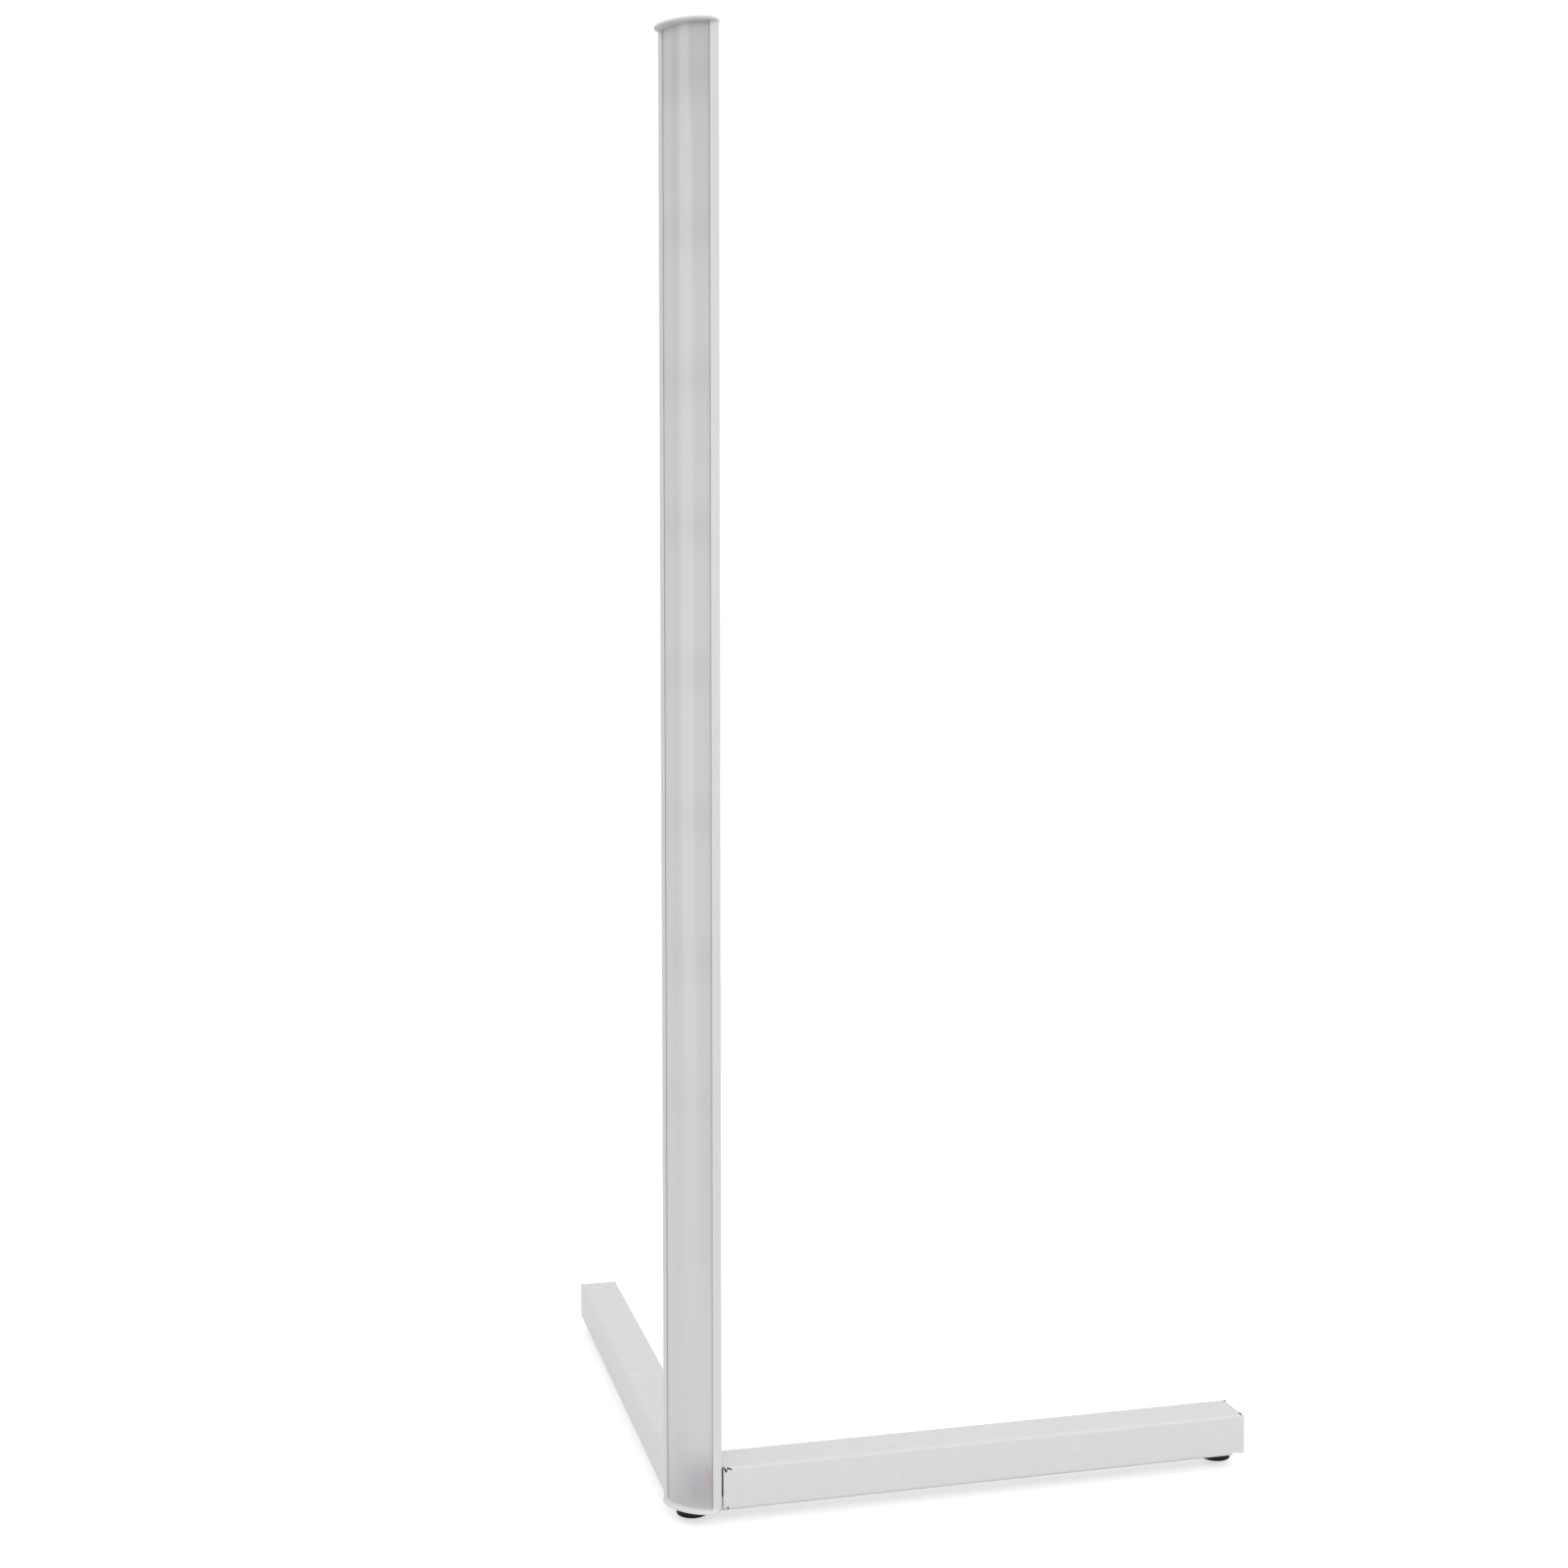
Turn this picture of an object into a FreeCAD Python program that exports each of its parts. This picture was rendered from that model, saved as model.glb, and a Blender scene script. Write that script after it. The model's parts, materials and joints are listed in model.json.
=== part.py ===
import FreeCAD, Part
import math
import os
import re
import Sketcher

# Corner floor lamp: a quarter-round light column stands where two folded legs meet at a right angle.
# Row frame: origin on the floor under the column foot, +X along the right leg, +Y along the left leg.

# Driving dimensions in millimetres, and counts
SIZES = {
    # column
    "column_height": 1400,  # underside of the bottom cap to the top of the top cap
    "corner_offset": 23.65,  # from the legs' centre lines to the column's two flat sides
    "round_radius": 47.25,  # the round front, about the inner corner of the flat sides
    "wall": 1.8,
    "lip_width": 8,
    "lip_depth": 8,
    "web_distance": 25,  # inner corner to the face that carries the light strip
    "web_wall": 1.8,
    "corner_fill": 11,  # solid inner corner, measured along each flat side
    "corner_port": 4.2,  # screw port in that corner, from each flat side
    "port_depth": 4.9,  # screw port in a lip, from the round front
    "port_inset": 3.2,  # screw port in a lip, from its flat side
    "diffuser_wall": 1.6,
    "diffuser_recess": 1.8,  # diffuser surface below the lips
    "groove_depth": 2.5,
    "diffuser_gap": 0.1,  # under the top cap
    "slip_clearance": 0.15,
    # caps
    "top_cap_thickness": 2.6,
    "bottom_cap_thickness": 4.2,
    "top_overhang": 7.4,
    "bottom_overhang": 3.5,
    "top_side_overhang": 2,  # past the flat sides
    "bottom_side_overhang": 1.5,
    "top_corner_radius": 13.3,
    "bottom_corner_radius": 10.9,
    "inner_corner_radius": 2,
    "rim_radius": 0.8,
    "cap_screw_radius": 1.25,
    "cap_screw_head_radius": 2.7,
    "cap_screw_head_height": 1.6,
    "cap_screw_length": 16,
    "cap_screw_socket": 1.1,
    "socket_depth": 1.0,
    "thread_clearance": 0.05,
    "hole_clearance": 0.4,
    # light strip
    "tape_thickness": 0.5,
    "strip_width": 12,
    "strip_thickness": 1.2,
    "strip_gap": 10,  # between the driver board and the light strip
    "strip_margin": 25,  # strip past the last clip
    "first_clip_height": 125,
    "clip_pitch": 135.7,
    "clip_count": 10,
    "clip_height": 8,
    "clip_thickness": 1.2,
    "clip_foot": 3.6,
    "leds_per_clip": 6,
    "led_size": 5,
    "led_thickness": 1.6,
    # driver board
    "board_low": 58,
    "board_width": 22,
    "board_height": 32,
    "board_thickness": 1.6,
    "board_pad_thickness": 2,
    "chip_size": 8,
    "chip_thickness": 1.2,
    "chip_inset": 1.4,  # chip and capacitor from the board's edges
    "capacitor_radius": 3.1,
    "capacitor_length": 7.5,
    "connector_width": 10,
    "connector_height": 6.5,
    "connector_depth": 4.6,
    "connector_spacing": 2,  # leads each side of the middle of a connector
    "strip_lead_radius": 0.4,
    "lead_radius": 0.8,
    "wire_hole_height": 44,
    "wire_hole_radius": 4.5,
    # power inlet
    "jack_distance": 16.5,  # from the inner corner, along the left flat side
    "jack_height": 62,
    "jack_body_radius": 4.5,
    "jack_body_depth": 8,
    "jack_thread_radius": 3.9,
    "jack_bore_radius": 2.8,
    "jack_pin_radius": 1.0,
    "jack_nose": 3.4,  # thread past the outside of the flat side
    "jack_floor": 1.5,
    "jack_pin_recess": 1.2,
    "jack_tag_spacing": 1.8,
    "jack_nut_thickness": 2.4,
    "jack_nut_radius": 6.2,
    # legs
    "leg_length": 549,  # from the column's flat side
    "leg_width": 43.7,
    "leg_height": 42.7,
    "leg_lift": 0.8,  # underside of a leg above that of the bottom cap
    "wall_start": 2.2,  # side walls from the column's flat side
    "leg_sheet": 1.5,
    "leg_bend": 3.5,  # outer radius
    "leg_lip": 12,
    "lip_start": 8,
    "lip_end": 12.5,
    "lip_relief": 3.6,  # slanted cut under the far end, where the lips stop
    "lip_relief_end": 2,  # and at the end itself
    "flap_slot": 2.5,  # between an end flap and the side walls
    "relief_start": 1.6,  # zigzag slit through a top bend, from the column's flat side
    "relief_reach": 9.2,
    "relief_drop": 5.3,
    "relief_slit": 1.4,
    "corner_relief_radius": 2.4,
    "drain_radius": 2.1,
    "drain_lift": 2.2,
    "leg_screw_distance": 17.5,  # from the column's inner corner
    "leg_screw_low": 15,
    "leg_screw_spacing": 14,
    "leg_screw_radius": 2.5,
    "leg_screw_head_radius": 4.4,
    "leg_screw_head_height": 3.2,
    "leg_screw_socket": 1.7,
    "leg_screw_tip": 1,
    "nut_plate_width": 12,
    "nut_plate_height": 28,
    "nut_plate_thickness": 4,
    # feet
    "foot_height": 6.1,  # floor to the underside of the bottom cap
    "foot_diameter": 31,
    "foot_gap": 0.3,
    "foot_inset": 21.9,  # foot centre to the far end of a leg
    "foot_rim": 0.8,
    "foot_floor": 2.4,  # pad left under the stud
    "foot_plate_length": 40,
    "foot_plate_thickness": 3,
    "foot_plate_clearance": 0.3,
    "stud_radius": 4,
    "stud_chamfer": 0.8,
    "foot_nut_flats": 13,
    "foot_nut_height": 6.5,
    "foot_travel": 6.25,
}

# Lengths worked out from the sizes, as formulas in the size names
PROFILE_LENGTH = "(column_height - top_cap_thickness - bottom_cap_thickness)"
DIFFUSER_OUTER = "(round_radius - diffuser_recess)"
DIFFUSER_INNER = "(round_radius - diffuser_recess - diffuser_wall)"
LIP_BACK = "(round_radius - lip_depth)"
WEB_FRONT = "(web_distance * sqrt(2) - wall)"
WEB_BACK = "((web_distance - web_wall) * sqrt(2) - wall)"
LIP_PORT = "(round_radius - port_depth)"
STRIP_BACK = "(web_distance + tape_thickness)"
STRIP_FRONT = "(web_distance + tape_thickness + strip_thickness)"
BOARD_BACK = "(web_distance + board_pad_thickness)"
BOARD_FRONT = "(web_distance + board_pad_thickness + board_thickness)"
STRIP_END = "(board_low + board_height + strip_gap)"
LED_PITCH = "(clip_pitch / leds_per_clip)"
FLAP_WIDTH = "(leg_width - 2 * leg_sheet - 2 * flap_slot)"
FOOT_X = "(corner_offset + leg_length - foot_inset)"
PORTS = [
    ("-corner_port", "-corner_port"),
    (f"-{LIP_PORT}", "-port_inset"),
    ("-port_inset", f"-{LIP_PORT}"),
]

doc = FreeCAD.newDocument("corner_floor_lamp")
sheet = doc.addObject("Spreadsheet::Sheet", "sizes")
for row, (name, number) in enumerate(SIZES.items(), 1):
    sheet.set(f"A{row}", name)
    sheet.set(f"B{row}", str(number))
    sheet.setAlias(f"B{row}", name)
doc.recompute()

nodes = []


def linked(formula):
    """The formula with each size name pointing at its cell in the sheet."""
    return re.sub(r"[a-z_]+", lambda word: f"sizes.{word[0]}" if word[0] in SIZES else word[0], formula)


def number_of(formula):
    return float(sheet.evalExpression(linked(formula)))


def vector(x="0", y="0", z="0"):
    return FreeCAD.Vector(number_of(x), number_of(y), number_of(z))


def bind(item, property_name, formula):
    item.setExpression(property_name, linked(formula))


def place(item, x="0", y="0", z="0", turn=0):
    """Place an object by formulas, turned about the vertical by whole degrees."""
    upright = FreeCAD.Rotation(FreeCAD.Vector(0, 0, 1), turn)
    item.Placement = FreeCAD.Placement(vector(x, y, z), upright)
    for axis, formula in zip("xyz", (x, y, z)):
        bind(item, f"Placement.Base.{axis}", formula)


def add_body(name, x="0", y="0", z="0", turn=0):
    body = doc.addObject("PartDesign::Body", name)
    body.Label = name
    place(body, x, y, z, turn)
    nodes.append(body)
    return body


def column_body(name):
    """A body whose X and Y run along the flat sides, from their inner corner at the column's base."""
    return add_body(name, "corner_offset", "corner_offset", "foot_height")


def strip_body(name):
    """A body at the same corner, turned so that -Y points at the middle of the round front."""
    return add_body(name, "corner_offset", "corner_offset", "foot_height", -45)


def origin_feature(body, role):
    return next(item for item in body.Origin.OriginFeatures if item.Role == role)


def add_sketch(body, plane="XY_Plane", lift="0"):
    sketch = body.newObject("Sketcher::SketchObject", f"{body.Label}_sketch")
    sketch.AttachmentSupport = [(origin_feature(body, plane), "")]
    sketch.MapMode = "FlatFace"
    bind(sketch, "AttachmentOffset.Base.z", lift)
    return sketch


def constrain(sketch, kind, *where, formula=None):
    """Add a constraint, driven by a formula where it has a size."""
    if formula is None:
        sketch.addConstraint(Sketcher.Constraint(kind, *where))
        return
    index = sketch.addConstraint(Sketcher.Constraint(kind, *where, number_of(formula)))
    bind(sketch, f"Constraints[{index}]", formula)


def pin_point(sketch, line, point, x, y):
    constrain(sketch, "DistanceX", -1, 1, line, point, formula=x)
    constrain(sketch, "DistanceY", -1, 1, line, point, formula=y)


def draw_polygon(sketch, corners):
    """Closed outline through corners given as pairs of formulas."""
    first = sketch.GeometryCount
    count = len(corners)
    points = [vector(x, y) for x, y in corners]
    for i in range(count):
        sketch.addGeometry(Part.LineSegment(points[i], points[(i + 1) % count]))
    for i, (x, y) in enumerate(corners):
        constrain(sketch, "Coincident", first + i, 2, first + (i + 1) % count, 1)
        pin_point(sketch, first + i, 1, x, y)


def draw_circle(sketch, x, y, radius):
    circle = Part.Circle(vector(x, y), FreeCAD.Vector(0, 0, 1), number_of(radius))
    index = sketch.addGeometry(circle)
    pin_point(sketch, index, 3, x, y)
    constrain(sketch, "Radius", index, formula=radius)


def draw_front_arc(sketch, radius, edge):
    """Arc about the inner corner, between the lines y = edge and x = edge."""
    spread = math.asin(number_of(edge) / number_of(radius))
    circle = Part.Circle(FreeCAD.Vector(), FreeCAD.Vector(0, 0, 1), number_of(radius))
    arc = sketch.addGeometry(Part.ArcOfCircle(circle, math.pi - spread, 1.5 * math.pi + spread))
    constrain(sketch, "Coincident", arc, 3, -1, 1)
    constrain(sketch, "Radius", arc, formula=radius)
    return arc


def draw_quarter(sketch, radius, edge):
    """Quarter round about the inner corner, with its flat sides at x = edge and y = edge."""
    arc = draw_front_arc(sketch, radius, edge)
    corner = vector(edge, edge)
    ends = [sketch.getPoint(arc, 1), sketch.getPoint(arc, 2)]
    left = sketch.addGeometry(Part.LineSegment(corner, ends[0]))
    right = sketch.addGeometry(Part.LineSegment(ends[1], corner))
    constrain(sketch, "Coincident", left, 2, arc, 1)
    constrain(sketch, "Coincident", arc, 2, right, 1)
    constrain(sketch, "Coincident", right, 2, left, 1)
    constrain(sketch, "Horizontal", left)
    constrain(sketch, "Vertical", right)
    pin_point(sketch, left, 1, edge, edge)


def draw_front_ring(sketch, outer, inner, edge):
    """Curved strip between two radii, cut off at x = edge and y = edge."""
    outside = draw_front_arc(sketch, outer, edge)
    inside = draw_front_arc(sketch, inner, edge)
    for point, level, kind in ((1, "Horizontal", "DistanceY"), (2, "Vertical", "DistanceX")):
        ends = [sketch.getPoint(outside, point), sketch.getPoint(inside, point)]
        line = sketch.addGeometry(Part.LineSegment(*ends))
        constrain(sketch, "Coincident", line, 1, outside, point)
        constrain(sketch, "Coincident", line, 2, inside, point)
        constrain(sketch, level, line)
        constrain(sketch, kind, -1, 1, line, 1, formula=edge)


def extrude(body, sketch, length):
    pad = body.newObject("PartDesign::Pad", f"{body.Label}_pad")
    pad.Profile = sketch
    bind(pad, "Length", length)
    doc.recompute()
    return pad


def cut(body, sketch, depth, forward=True):
    """Cut along the sketch's normal, or against it, and make sure that material went."""
    before = body.Shape.Volume
    pocket = body.newObject("PartDesign::Pocket", f"{body.Label}_pocket")
    pocket.Profile = sketch
    pocket.Reversed = forward
    bind(pocket, "Length", depth)
    doc.recompute()
    if body.Shape.Volume > before - 1e-6:
        raise ValueError(f"a cut in {body.Label} removes nothing")
    return pocket


def round_edges(body, points, radius, kind="Fillet", size="Radius"):
    """Round, or chamfer, each edge that passes through one of the points."""
    doc.recompute()
    base = body.Tip
    names = []
    for point in points:
        spot = Part.Vertex(vector(*point))
        gaps = [edge.distToShape(spot)[0] for edge in base.Shape.Edges]
        names.append(f"Edge{gaps.index(min(gaps)) + 1}")
    feature = body.newObject(f"PartDesign::{kind}", f"{body.Label}_{kind.lower()}")
    feature.Base = (base, names)
    bind(feature, size, radius)
    doc.recompute()
    return feature


def repeat_upwards(body, features, spacing, count):
    pattern = body.newObject("PartDesign::LinearPattern", f"{body.Label}_pattern")
    pattern.Originals = features
    pattern.Direction = (origin_feature(body, "Z_Axis"), [""])
    bind(pattern, "Length", f"{spacing} * ({count} - 1)")
    bind(pattern, "Occurrences", count)
    body.Tip = pattern
    doc.recompute()


def rectangle(left, right, back, front):
    return [(left, back), (right, back), (right, front), (left, front)]


def block(body, left, right, back, front, low, height):
    """Upright block between two x values and two y values."""
    sketch = add_sketch(body, lift=low)
    draw_polygon(sketch, rectangle(left, right, back, front))
    return extrude(body, sketch, height)


def strip_layer(name, half, back, front, low, height):
    """Block across the middle of the light strip, between two distances from the inner corner."""
    body = strip_body(name)
    return body, block(body, f"-{half}", half, f"-{front}", f"-{back}", low, height)


def solid(kind, name, **sizes):
    """A plain solid whose properties are bound to formulas."""
    item = doc.addObject(f"Part::{kind}", name)
    for property_name, formula in sizes.items():
        bind(item, property_name, formula)
    return item


def join(name, pieces):
    fused = doc.addObject("Part::MultiFuse", name)
    fused.Shapes = pieces
    return fused


def subtract(name, base, tool):
    result = doc.addObject("Part::Cut", name)
    result.Base = base
    result.Tool = tool
    return result


def group(name, pieces):
    """Several separate solids of one kind as one node."""
    compound = doc.addObject("Part::Compound", name)
    compound.Label = name
    compound.Links = pieces
    nodes.append(compound)


def tube_along(points, radius):
    """Round tube along straight runs joined by arcs as large as the runs allow."""
    edges = []
    start = points[0]
    for before, point, after in zip(points, points[1:], points[2:]):
        incoming = (point - before).normalize()
        outgoing = (after - point).normalize()
        turn = incoming.getAngle(outgoing)
        reach = 0.45 * min(before.distanceToPoint(point), point.distanceToPoint(after))
        middle = (outgoing - incoming).normalize()
        bend = reach / math.tan(turn / 2)
        enter = point - incoming * reach
        leave = point + outgoing * reach
        top = point + middle * (bend / math.cos(turn / 2) - bend)
        edges.append(Part.LineSegment(start, enter).toShape())
        edges.append(Part.Arc(enter, top, leave).toShape())
        start = leave
    edges.append(Part.LineSegment(start, points[-1]).toShape())
    path = Part.Wire(edges)
    section = Part.Wire(Part.Circle(points[0], points[1] - points[0], radius).toShape())
    return path.makePipeShell([section], True, True)


def add_tubes(name, routes, radius):
    """Leads along hand-chosen points, in the strip bodies' axes."""
    tubes = [tube_along(points, number_of(radius)) for points in routes]
    node = doc.addObject("Part::Feature", name)
    node.Label = name
    node.Shape = tubes[0] if len(tubes) == 1 else Part.makeCompound(tubes)
    place(node, "corner_offset", "corner_offset", "foot_height", -45)
    nodes.append(node)


def make_column_profile():
    body = column_body("column_profile")
    sketch = add_sketch(body, lift="bottom_cap_thickness")
    draw_quarter(sketch, "round_radius", "0")
    extrude(body, sketch, PROFILE_LENGTH)

    # front chamber, open between the lips
    chamber = add_sketch(body, lift="bottom_cap_thickness")
    far = "-2 * round_radius"
    draw_polygon(
        chamber,
        [
            (far, "-lip_width"),
            (f"-{LIP_BACK}", "-lip_width"),
            (f"-{LIP_BACK}", "-wall"),
            (f"-{WEB_FRONT}", "-wall"),
            ("-wall", f"-{WEB_FRONT}"),
            ("-wall", f"-{LIP_BACK}"),
            ("-lip_width", f"-{LIP_BACK}"),
            ("-lip_width", far),
            (far, far),
        ],
    )
    cut(body, chamber, PROFILE_LENGTH)

    # cable channel between the web and the solid inner corner
    channel = add_sketch(body, lift="bottom_cap_thickness")
    draw_polygon(
        channel,
        [
            ("-wall", "-corner_fill"),
            ("-wall", f"-{WEB_BACK}"),
            (f"-{WEB_BACK}", "-wall"),
            ("-corner_fill", "-wall"),
        ],
    )
    cut(body, channel, PROFILE_LENGTH)

    # grooves for the edges of the diffuser
    grooves = add_sketch(body, lift="bottom_cap_thickness")
    draw_front_ring(
        grooves,
        f"{DIFFUSER_OUTER} + slip_clearance",
        f"{DIFFUSER_INNER} - slip_clearance",
        "groove_depth - lip_width",
    )
    cut(body, grooves, PROFILE_LENGTH)

    ports = add_sketch(body, lift="bottom_cap_thickness")
    for x, y in PORTS:
        draw_circle(ports, x, y, "cap_screw_radius + thread_clearance")
    cut(body, ports, PROFILE_LENGTH)

    # screw holes for the legs, two in each flat side, and the inlet's hole in the left one
    right_holes = add_sketch(body, "YZ_Plane", "-wall")
    left_holes = add_sketch(body, "XZ_Plane")
    for lift in ("leg_screw_low", "leg_screw_low + leg_screw_spacing"):
        draw_circle(right_holes, "-leg_screw_distance", lift, "leg_screw_radius + hole_clearance")
        draw_circle(left_holes, "-leg_screw_distance", lift, "leg_screw_radius + hole_clearance")
    draw_circle(left_holes, "-jack_distance", "jack_height", "jack_thread_radius + slip_clearance")
    cut(body, right_holes, "wall")
    cut(body, left_holes, "wall")

    # way through the web for the leads
    before = body.Shape.Volume
    hole = body.newObject("PartDesign::SubtractiveCylinder", "wire_hole")
    towards_front = FreeCAD.Rotation(FreeCAD.Vector(0, 0, 1), FreeCAD.Vector(-1, -1, 0))
    hole.Placement = FreeCAD.Placement(FreeCAD.Vector(), towards_front)
    web_back = "-(web_distance - 2 * web_wall) / sqrt(2)"
    bind(hole, "Placement.Base.x", web_back)
    bind(hole, "Placement.Base.y", web_back)
    bind(hole, "Placement.Base.z", "wire_hole_height")
    bind(hole, "Radius", "wire_hole_radius")
    bind(hole, "Height", "4 * web_wall")
    doc.recompute()
    if body.Shape.Volume > before - 1e-6:
        raise ValueError("the wire hole removes nothing")


def make_diffuser():
    body = column_body("diffuser")
    sketch = add_sketch(body, lift="bottom_cap_thickness")
    draw_front_ring(sketch, DIFFUSER_OUTER, DIFFUSER_INNER, "groove_depth - lip_width - slip_clearance")
    extrude(body, sketch, f"{PROFILE_LENGTH} - diffuser_gap")


def make_cap(name, low, thickness, outside):
    """End plate with countersunk holes in the face at height outside."""
    part = name.split("_")[0]
    side = f"{part}_side_overhang"
    body = column_body(name)
    sketch = add_sketch(body, lift=low)
    radius = f"(round_radius + {part}_overhang)"
    draw_quarter(sketch, radius, side)
    extrude(body, sketch, thickness)
    middle = f"{low} + {thickness} / 2"
    tip = f"-sqrt({radius} ^ 2 - {side} ^ 2)"
    round_edges(body, [(side, tip, middle), (tip, side, middle)], f"{part}_corner_radius")
    round_edges(body, [(side, side, middle)], "inner_corner_radius")
    rim = f"-{radius} / sqrt(2)"
    round_edges(body, [(rim, rim, low), (rim, rim, f"{low} + {thickness}")], "rim_radius")

    holes = add_sketch(body, lift=low)
    for x, y in PORTS:
        draw_circle(holes, x, y, "cap_screw_radius + hole_clearance")
    cut(body, holes, thickness)
    for x, y in PORTS:
        sink = body.newObject("PartDesign::SubtractiveCone", f"{name}_sink")
        place(sink, x, y, low if outside == low else f"{outside} - cap_screw_head_height")
        radii = ["cap_screw_head_radius + thread_clearance", "cap_screw_radius + thread_clearance"]
        if outside != low:
            radii.reverse()
        bind(sink, "Radius1", radii[0])
        bind(sink, "Radius2", radii[1])
        bind(sink, "Height", "cap_screw_head_height")
    doc.recompute()
    return body


def make_caps():
    top_low = "(column_height - top_cap_thickness)"
    make_cap("top_cap", top_low, "top_cap_thickness", "column_height")
    cap = make_cap("bottom_cap", "0", "bottom_cap_thickness", "0")
    foot_hole = add_sketch(cap)
    draw_circle(foot_hole, "-corner_offset", "-corner_offset", "stud_radius + hole_clearance")
    cut(cap, foot_hole, "bottom_cap_thickness")


def make_cap_screws(name, head, tip, socket, radii):
    """Three countersunk screws, given the heights of head cone, shank end and hexagon socket."""
    screws = []
    shank_length = "(cap_screw_length - cap_screw_head_height)"
    for number, (x, y) in enumerate(PORTS, 1):
        label = f"{name}_{number}"
        cone = solid("Cone", f"{label}_head", Radius1=radii[0], Radius2=radii[1])
        bind(cone, "Height", "cap_screw_head_height")
        shank = solid("Cylinder", f"{label}_shank", Radius="cap_screw_radius", Height=shank_length)
        drive = solid("Prism", f"{label}_drive", Circumradius="cap_screw_socket", Height="socket_depth")
        for item, height in ((cone, head), (shank, tip), (drive, socket)):
            place(item, f"corner_offset + {x}", f"corner_offset + {y}", f"foot_height + {height}")
        screws.append(subtract(label, join(f"{label}_blank", [cone, shank]), drive))
    group(name, screws)


def make_fasteners():
    make_cap_screws(
        "top_cap_screws",
        "column_height - cap_screw_head_height",
        "column_height - cap_screw_length",
        "column_height - socket_depth",
        ("cap_screw_radius", "cap_screw_head_radius"),
    )
    make_cap_screws(
        "bottom_cap_screws",
        "0",
        "cap_screw_head_height",
        "0",
        ("cap_screw_head_radius", "cap_screw_radius"),
    )
    for side, name in ((1, "right"), (-1, "left")):
        make_nut_plate(name, side)
        make_leg_screws(name, side)


def leg_body(name, side, lift="0"):
    """A body that runs along +X from the column's flat side, on the leg's centre line."""
    low = f"foot_height + {lift}"
    if side > 0:
        return add_body(name, "corner_offset", "0", low)
    return add_body(name, "0", "corner_offset", low, 90)


def screw_line(side):
    """Distance of the leg's screws from its centre line, towards the inner corner."""
    return f"{side} * (corner_offset - leg_screw_distance)"


def make_nut_plate(name, side):
    body = leg_body(f"{name}_nut_plate", side)
    middle = screw_line(side)
    low = "leg_screw_low + leg_screw_spacing / 2 - nut_plate_height / 2"
    near = f"{middle} - nut_plate_width / 2"
    far = f"{middle} + nut_plate_width / 2"
    block(body, "-wall - nut_plate_thickness", "-wall", near, far, low, "nut_plate_height")
    holes = add_sketch(body, "YZ_Plane", "-wall - nut_plate_thickness")
    for lift in ("leg_screw_low", "leg_screw_low + leg_screw_spacing"):
        draw_circle(holes, middle, lift, "leg_screw_radius + thread_clearance")
    cut(body, holes, "nut_plate_thickness")


def make_leg_screws(name, side):
    body = leg_body(f"{name}_leg_screws", side)
    middle = screw_line(side)
    shank = add_sketch(body, "YZ_Plane", "-wall - nut_plate_thickness - leg_screw_tip")
    draw_circle(shank, middle, "leg_screw_low", "leg_screw_radius")
    shank_pad = extrude(body, shank, "wall + nut_plate_thickness + leg_screw_tip + leg_sheet")
    head = add_sketch(body, "YZ_Plane", "leg_sheet")
    draw_circle(head, middle, "leg_screw_low", "leg_screw_head_radius")
    head_pad = extrude(body, head, "leg_screw_head_height")
    drive = add_sketch(body, "YZ_Plane", "leg_sheet + leg_screw_head_height - leg_screw_socket")
    draw_circle(drive, middle, "leg_screw_low", "leg_screw_socket")
    drive_cut = cut(body, drive, "leg_screw_socket")
    repeat_upwards(body, [shank_pad, head_pad, drive_cut], "leg_screw_spacing", "2")


def make_light_strip():
    half = "strip_width / 2"
    last_clip = "(first_clip_height + clip_pitch * (clip_count - 1))"
    length = f"{last_clip} + strip_margin - {STRIP_END}"
    strip_layer("strip_tape", half, "web_distance", STRIP_BACK, STRIP_END, length)
    strip_layer("led_board", half, STRIP_BACK, STRIP_FRONT, STRIP_END, length)
    led_front = f"({STRIP_FRONT} + led_thickness)"
    led_low = f"first_clip_height + {LED_PITCH} / 2 - led_size / 2"
    leds, led = strip_layer("led_packages", "led_size / 2", STRIP_FRONT, led_front, led_low, "led_size")
    repeat_upwards(leds, [led], LED_PITCH, "(clip_count - 1) * leds_per_clip")

    # saddle clips: feet on the web, a bridge over the strip
    clips = strip_body("strip_clips")
    inner = f"({half} + slip_clearance)"
    outer = f"({inner} + clip_foot)"
    under = f"({STRIP_FRONT} + slip_clearance)"
    saddle = add_sketch(clips, lift="first_clip_height - clip_height / 2")
    draw_polygon(
        saddle,
        [
            (f"-{outer}", "-web_distance"),
            (f"-{inner}", "-web_distance"),
            (f"-{inner}", f"-{under}"),
            (inner, f"-{under}"),
            (inner, "-web_distance"),
            (outer, "-web_distance"),
            (outer, f"-({under} + clip_thickness)"),
            (f"-{outer}", f"-({under} + clip_thickness)"),
        ],
    )
    repeat_upwards(clips, [extrude(clips, saddle, "clip_height")], "clip_pitch", "clip_count")


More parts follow.
